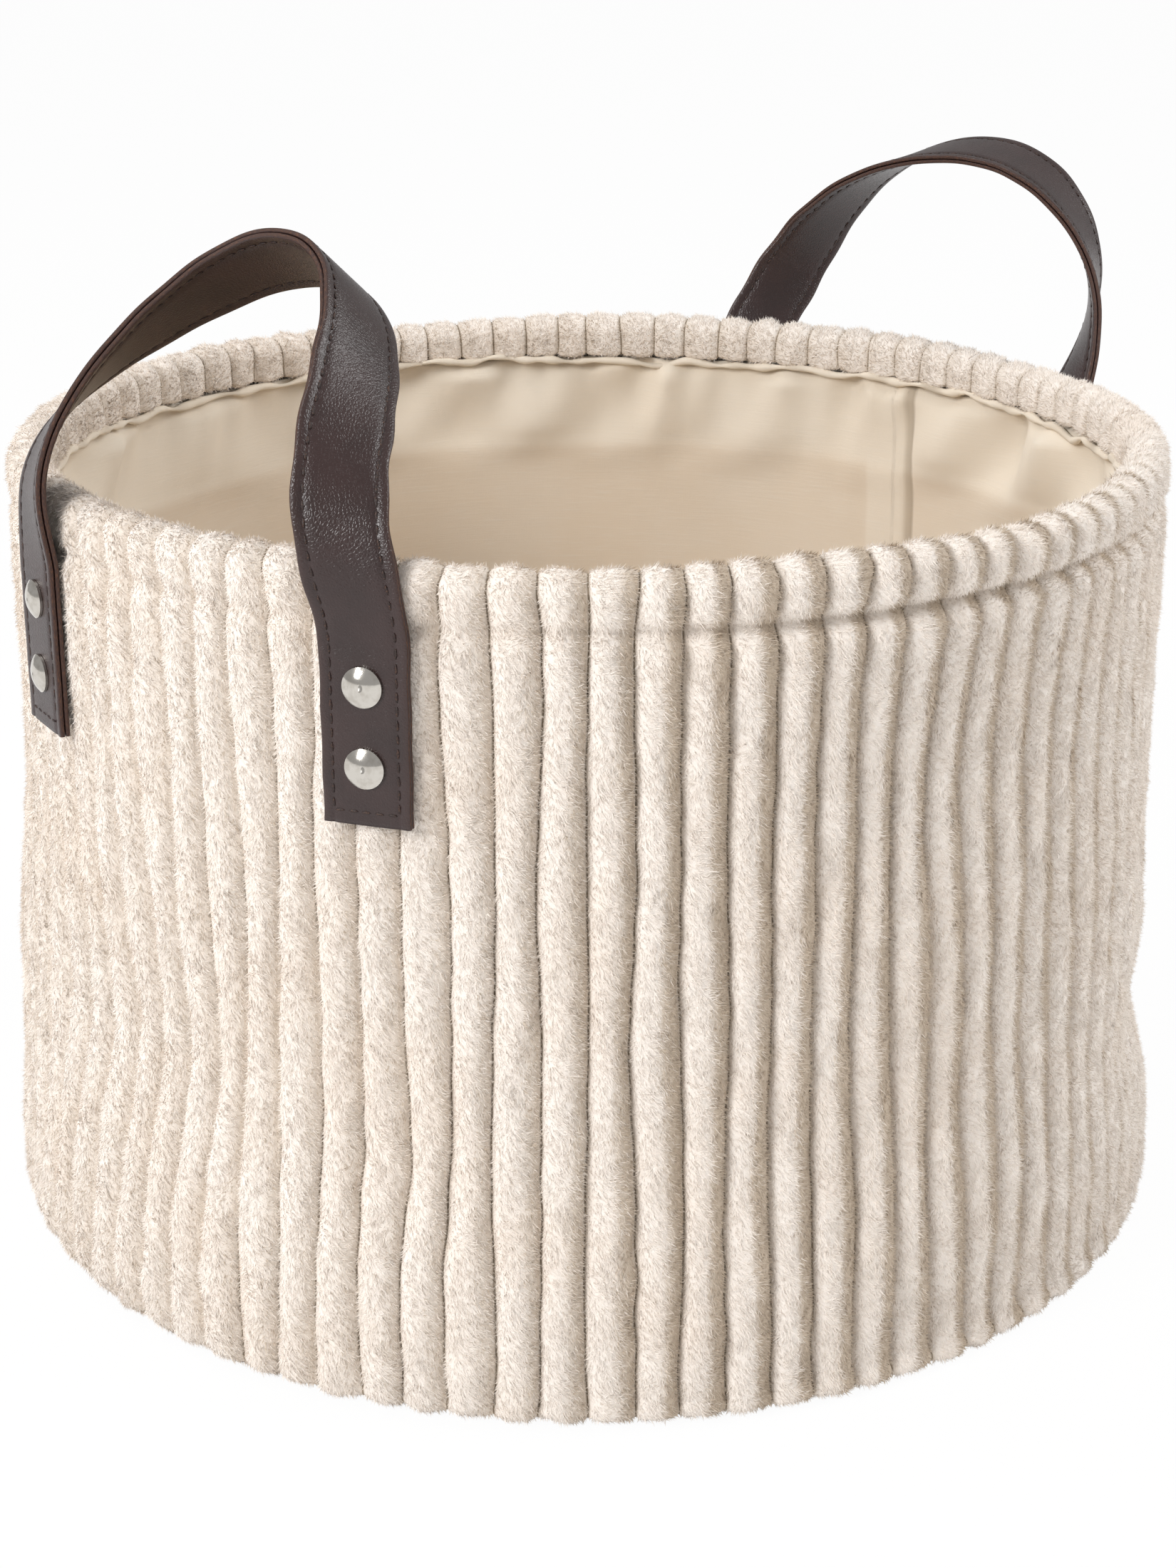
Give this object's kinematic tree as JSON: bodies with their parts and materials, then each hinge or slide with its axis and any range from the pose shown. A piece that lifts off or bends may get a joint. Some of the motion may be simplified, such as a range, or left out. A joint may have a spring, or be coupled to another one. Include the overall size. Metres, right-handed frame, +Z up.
{
  "type": "fabric storage bin",
  "caption": "Round open-topped storage bin with a ribbed plush wall rolled over a hooped rim, a cotton lining and two riveted leather strap handles.",
  "frame": {"origin": "centre of the underside, on the floor", "axes": "+Z up along the bin's axis, +X towards the right handle, -X towards the left handle, which sits half a rib pitch round from it"},
  "size_m": [0.3353, 0.3038, 0.2598],
  "materials": {
    "plush": "deep ribbed pile",
    "backing_cloth": "knitted backing",
    "lining_cotton": "plain weave",
    "base_cloth": "plain weave, padded",
    "stiffener_felt": "pressed felt",
    "board": "plain",
    "hoop_wire": "drawn wire",
    "strap_leather": "fine grain, semi-gloss",
    "rivet_metal": "polished nickel"
  },
  "bodies": {
    "bin": {"outer_wall": "backing_cloth", "plush_ribs": "plush", "wall_stiffener": "stiffener_felt", "lining_wall": "lining_cotton", "lining_base": "lining_cotton", "base_board": "board", "base_cover": "base_cloth", "rim_hoop": "hoop_wire", "hoop_ferrule": "hoop_wire", "rivet_caps": "rivet_metal", "rivet_backs": "rivet_metal", "left_front_tab_face": "strap_leather", "left_front_tab_backing": "strap_leather", "left_rear_tab_face": "strap_leather", "left_rear_tab_backing": "strap_leather", "right_front_tab_face": "strap_leather", "right_front_tab_backing": "strap_leather", "right_rear_tab_face": "strap_leather", "right_rear_tab_backing": "strap_leather"},
    "left_handle": {"left_loop_face": "strap_leather", "left_loop_backing": "strap_leather"},
    "right_handle": {"right_loop_face": "strap_leather", "right_loop_backing": "strap_leather"}
  },
  "joints": [
    {"name": "left_handle_fold", "type": "hinge", "parent": "bin", "child": "left_handle", "pos_m": [-0.13774, -0.00492, 0.21], "axis": [0.0357, -0.9994, 0], "range_deg": [-60, 125], "stiffness_Nm_per_rad": 0.05},
    {"name": "right_handle_fold", "type": "hinge", "parent": "bin", "child": "right_handle", "pos_m": [0.15388, 0, 0.21], "axis": [0, 1, 0], "range_deg": [-105, 65], "stiffness_Nm_per_rad": 0.05}
  ]
}
